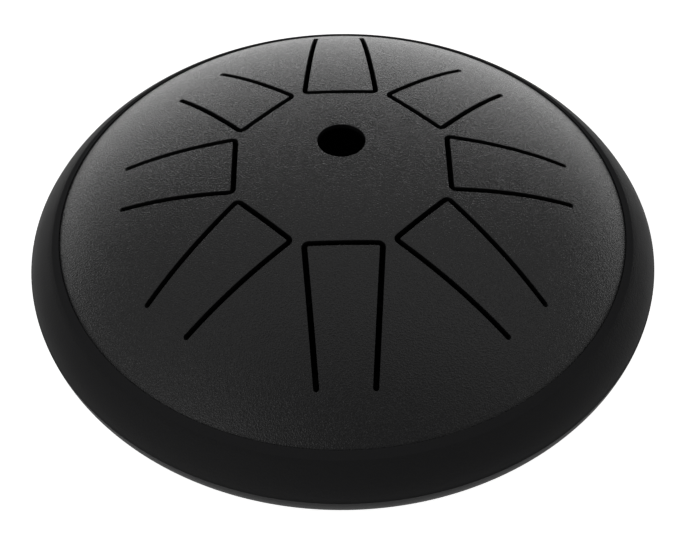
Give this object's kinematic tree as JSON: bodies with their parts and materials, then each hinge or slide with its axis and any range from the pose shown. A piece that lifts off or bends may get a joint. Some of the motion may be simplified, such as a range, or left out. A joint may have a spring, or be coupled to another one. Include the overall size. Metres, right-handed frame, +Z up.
{
  "type": "steel tongue drum",
  "caption": "Small steel tongue drum: domed top with graded tongues cut by slots and a round sound hole, silicone ring round the seam, steel bowl below on rubber feet.",
  "frame": {"origin": "on the table below the middle of the drum, level with the undersides of the feet", "axes": "+Z up along the drum's axis; +Y towards the back, where the longest tongue and the sound hole are"},
  "size_m": [0.1538, 0.1538, 0.073],
  "materials": {
    "powder_coat": "black powder coat with a fine grain, satin",
    "silicone": "moulded black silicone, matte",
    "foot_rubber": "moulded black rubber, matte"
  },
  "bodies": {
    "drum": {"top_shell": "powder_coat", "bottom_shell": "powder_coat", "rim_ring": "silicone", "foot_front_left": "foot_rubber", "foot_front_right": "foot_rubber", "foot_back_left": "foot_rubber", "foot_back_right": "foot_rubber"},
    "low_c_tongue": {"tongue_low_c": "powder_coat"},
    "d_tongue": {"tongue_d": "powder_coat"},
    "e_tongue": {"tongue_e": "powder_coat"},
    "f_tongue": {"tongue_f": "powder_coat"},
    "g_tongue": {"tongue_g": "powder_coat"},
    "a_tongue": {"tongue_a": "powder_coat"},
    "b_tongue": {"tongue_b": "powder_coat"},
    "high_c_tongue": {"tongue_high_c": "powder_coat"}
  },
  "joints": [
    {"name": "low_c_bend", "type": "hinge", "parent": "drum", "child": "low_c_tongue", "pos_m": [0, 0.0609, 0.05861], "axis": [-1, 0, 0], "range_deg": [-0.4, 0.4], "stiffness_Nm_per_rad": 26.5},
    {"name": "d_bend", "type": "hinge", "parent": "drum", "child": "d_tongue", "pos_m": [0, -0.0578, 0.06046], "axis": [1, 0, 0], "range_deg": [-0.4, 0.4], "stiffness_Nm_per_rad": 24.8},
    {"name": "e_bend", "type": "hinge", "parent": "drum", "child": "e_tongue", "pos_m": [0.04031, -0.04031, 0.0609], "axis": [0.7071, 0.7071, 0], "range_deg": [-0.4, 0.4], "stiffness_Nm_per_rad": 28.9},
    {"name": "f_bend", "type": "hinge", "parent": "drum", "child": "f_tongue", "pos_m": [-0.03939, -0.03939, 0.06159], "axis": [0.7071, -0.7071, 0], "range_deg": [-0.4, 0.4], "stiffness_Nm_per_rad": 28.4},
    {"name": "g_bend", "type": "hinge", "parent": "drum", "child": "g_tongue", "pos_m": [0.0541, 0, 0.06241], "axis": [0, 1, 0], "range_deg": [-0.4, 0.4], "stiffness_Nm_per_rad": 30.1},
    {"name": "a_bend", "type": "hinge", "parent": "drum", "child": "a_tongue", "pos_m": [-0.0519, 0, 0.06345], "axis": [0, -1, 0], "range_deg": [-0.4, 0.4], "stiffness_Nm_per_rad": 29.5},
    {"name": "b_bend", "type": "hinge", "parent": "drum", "child": "b_tongue", "pos_m": [0.03585, 0.03585, 0.06398], "axis": [-0.7071, 0.7071, 0], "range_deg": [-0.4, 0.4], "stiffness_Nm_per_rad": 32.2},
    {"name": "high_c_bend", "type": "hinge", "parent": "drum", "child": "high_c_tongue", "pos_m": [-0.03521, 0.03521, 0.06436], "axis": [-0.7071, -0.7071, 0], "range_deg": [-0.4, 0.4], "stiffness_Nm_per_rad": 32.3}
  ]
}
